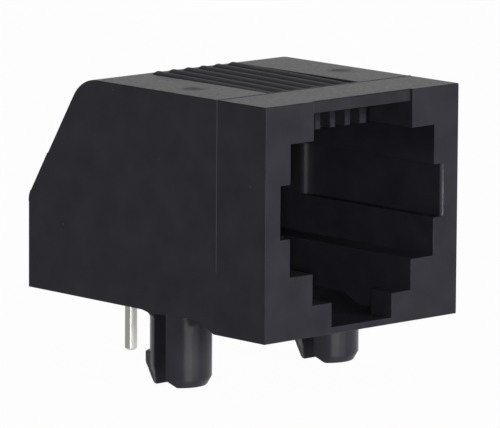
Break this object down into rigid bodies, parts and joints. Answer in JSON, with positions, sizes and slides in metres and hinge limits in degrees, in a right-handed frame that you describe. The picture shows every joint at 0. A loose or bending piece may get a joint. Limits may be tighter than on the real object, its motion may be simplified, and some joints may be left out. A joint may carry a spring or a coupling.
{
  "type": "pcb modular jack",
  "caption": "Black right-angle board-mount modular jack with a stepped plug cavity, a latch pocket, split snap-in pegs and flat spring contacts that end in staggered solder tails.",
  "frame": {"origin": "on the board's surface, midway between the two pegs", "axes": "+Z away from the board, -Y out of the plug opening, +X to the right when looking into the opening"},
  "size_m": [0.0132, 0.0176, 0.015],
  "materials": {
    "moulding": "moulded black PBT with a fine spark-eroded texture",
    "contact": "tin-plated tails on phosphor bronze strip, gold-plated at the spring"
  },
  "bodies": {
    "root": {"housing": "moulding", "contact_1": "contact", "contact_2": "contact", "contact_3": "contact", "contact_4": "contact"}
  },
  "joints": []
}
